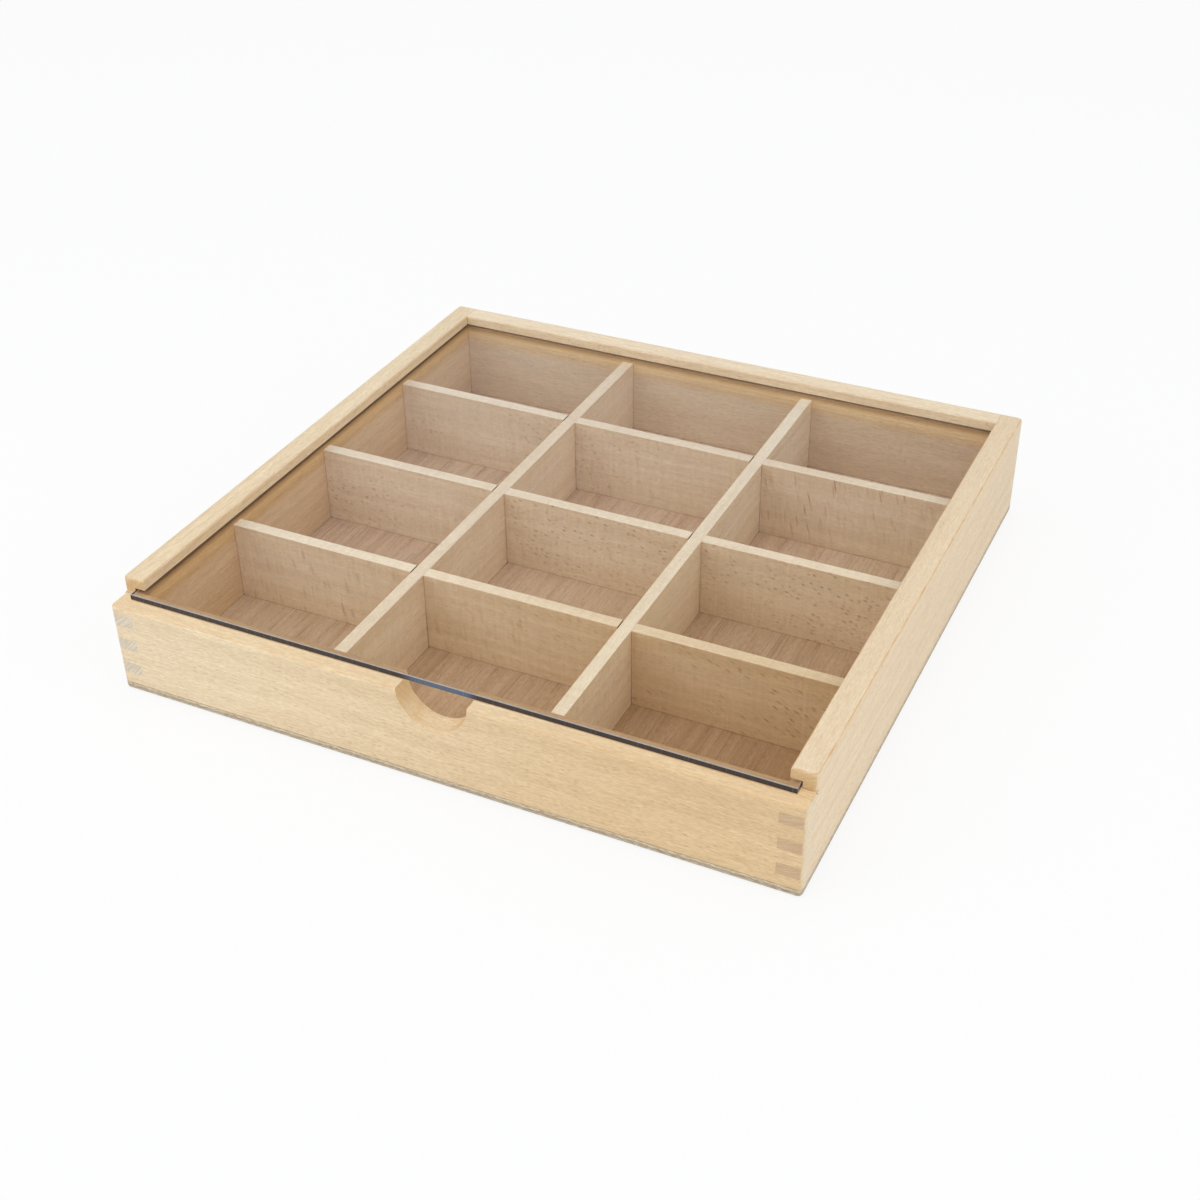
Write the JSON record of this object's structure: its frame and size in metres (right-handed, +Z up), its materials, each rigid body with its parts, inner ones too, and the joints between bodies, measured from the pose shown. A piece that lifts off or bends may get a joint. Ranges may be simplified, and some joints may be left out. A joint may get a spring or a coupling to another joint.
{
  "type": "sorting box",
  "caption": "Shallow finger-jointed wooden box with a lapped divider grid, a plywood base and a clear lid that slides out over the lower, scooped front wall.",
  "frame": {"origin": "middle of the underside, on the surface that the box stands on", "axes": "+X to the right seen from the front, +Y to the back, +Z up; the lid slides out towards -Y"},
  "size_m": [0.32, 0.311, 0.053],
  "materials": {
    "beech_wall": "sanded, clear matt lacquer",
    "beech_divider": "sanded",
    "plywood_base": "sanded veneer",
    "acrylic_lid": "clear, polished"
  },
  "bodies": {
    "box": {"front_wall": "beech_wall", "back_wall": "beech_wall", "left_wall": "beech_wall", "right_wall": "beech_wall", "base_panel": "plywood_base", "long_divider_left": "beech_divider", "long_divider_right": "beech_divider", "cross_divider_front": "beech_divider", "cross_divider_middle": "beech_divider", "cross_divider_back": "beech_divider"},
    "lid": {"sliding_lid": "acrylic_lid"}
  },
  "joints": [
    {"name": "lid_slide", "type": "slide", "parent": "box", "child": "lid", "axis": [0, -1, 0], "range_m": [0, 0.305]}
  ]
}
